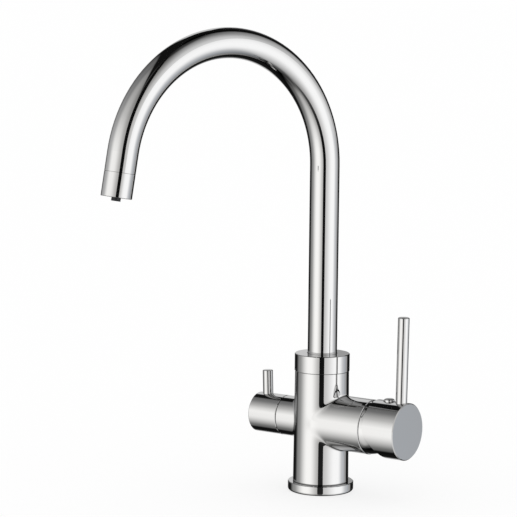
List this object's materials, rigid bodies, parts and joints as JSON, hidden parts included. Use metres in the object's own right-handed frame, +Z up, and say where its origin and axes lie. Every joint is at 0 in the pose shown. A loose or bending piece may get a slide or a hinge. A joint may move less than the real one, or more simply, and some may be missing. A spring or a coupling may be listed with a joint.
{
  "type": "three way filtered kitchen tap",
  "caption": "Chrome swan neck kitchen tap with a swivelling spout, a side mixer lever for hot and cold and a quarter turn knob for filtered water through its own inner way.",
  "frame": {"origin": "centre of the body's flat underside, on the worktop", "axes": "+Z up along the body and the spout's riser, +X out along the mixer arm, -X along the filter arm, -Y to the front"},
  "size_m": [0.1602, 0.2418, 0.3937],
  "materials": {
    "body_chrome": "polished chrome plate on brass",
    "ring_chrome": "polished chrome plate on brass",
    "collar_chrome": "polished chrome plate on brass",
    "dome_chrome": "polished chrome plate on brass",
    "tube_chrome": "polished chrome plate on brass",
    "sleeve_chrome": "polished chrome plate on brass",
    "cap_chrome": "polished chrome plate on brass",
    "pin_chrome": "polished chrome plate on brass",
    "plug_chrome": "polished chrome plate on brass",
    "knob_chrome": "polished chrome plate on brass",
    "inner_brass": "turned brass, unplated",
    "pin_steel": "plain stainless steel",
    "gasket_rubber": "moulded black rubber",
    "seal_rubber": "moulded black rubber",
    "slip_plastic": "white acetal",
    "cartridge_plastic": "moulded grey white acetal",
    "swivel_plastic": "moulded grey acetal",
    "disc_ceramic": "lapped white alumina ceramic",
    "filtered_tube_plastic": "food grade white polyethylene",
    "aerator_plastic": "moulded dark grey plastic",
    "nozzle_plastic": "moulded dark grey plastic"
  },
  "bodies": {
    "base": {"tap_body": "body_chrome", "base_ring": "ring_chrome", "base_gasket": "gasket_rubber", "spout_collar": "collar_chrome", "lower_slip_ring": "slip_plastic", "upper_slip_ring": "slip_plastic", "mixer_cartridge_base": "cartridge_plastic", "mixer_port_seals": "seal_rubber", "mixer_fixed_disc": "disc_ceramic", "mixer_cartridge_shell": "cartridge_plastic", "mixer_cartridge_nut": "inner_brass", "mixer_trim_dome": "dome_chrome", "filter_headwork": "inner_brass", "headwork_gasket": "seal_rubber", "filter_seat_seal": "seal_rubber", "filter_fixed_disc": "disc_ceramic"},
    "spout": {"spout_tube": "tube_chrome", "spout_nipple": "inner_brass", "spout_o_rings": "seal_rubber", "filtered_tube": "filtered_tube_plastic", "filtered_ferrule": "inner_brass", "filtered_o_ring": "seal_rubber", "outlet_adapter": "inner_brass", "outlet_gasket": "seal_rubber", "aerator_insert": "aerator_plastic", "outlet_sleeve": "sleeve_chrome", "filtered_nozzle": "nozzle_plastic"},
    "mixer_swivel": {"mixer_swivel": "swivel_plastic", "mixer_pivot_pin": "pin_steel"},
    "mixer_disc": {"mixer_disc_carrier": "swivel_plastic", "mixer_moving_disc": "disc_ceramic"},
    "mixer_lever": {"mixer_stem": "inner_brass", "mixer_cap": "cap_chrome", "mixer_pin": "pin_chrome", "lever_grub_screw": "pin_steel", "lever_plug": "plug_chrome"},
    "filter_handle": {"filter_spindle": "inner_brass", "filter_moving_disc": "disc_ceramic", "filter_circlip": "pin_steel", "filter_knob": "knob_chrome", "filter_pin": "pin_chrome", "knob_grub_screw": "pin_steel"}
  },
  "joints": [
    {"name": "spout_swivel", "type": "hinge", "parent": "base", "child": "spout", "pos_m": [0, 0, 0.11], "axis": [0, 0, 1], "range_deg": [-180, 180]},
    {"name": "mixer_turn", "type": "hinge", "parent": "base", "child": "mixer_swivel", "pos_m": [0.0515, 0, 0.0605], "axis": [1, 0, 0], "range_deg": [-45, 45]},
    {"name": "mixer_lift", "type": "hinge", "parent": "mixer_swivel", "child": "mixer_lever", "pos_m": [0.0515, 0, 0.0605], "axis": [0, 1, 0], "range_deg": [0, 25]},
    {"name": "mixer_disc_slide", "type": "slide", "parent": "mixer_swivel", "child": "mixer_disc", "axis": [0, 0, 1], "range_m": [0, 0.00624]},
    {"name": "filter_turn", "type": "hinge", "parent": "base", "child": "filter_handle", "pos_m": [-0.045, 0, 0.0605], "axis": [1, 0, 0], "range_deg": [0, 90]}
  ],
  "couplings": [
    {"joint": "mixer_disc_slide", "follows": "mixer_lift", "m_per_rad": 0.014286}
  ]
}
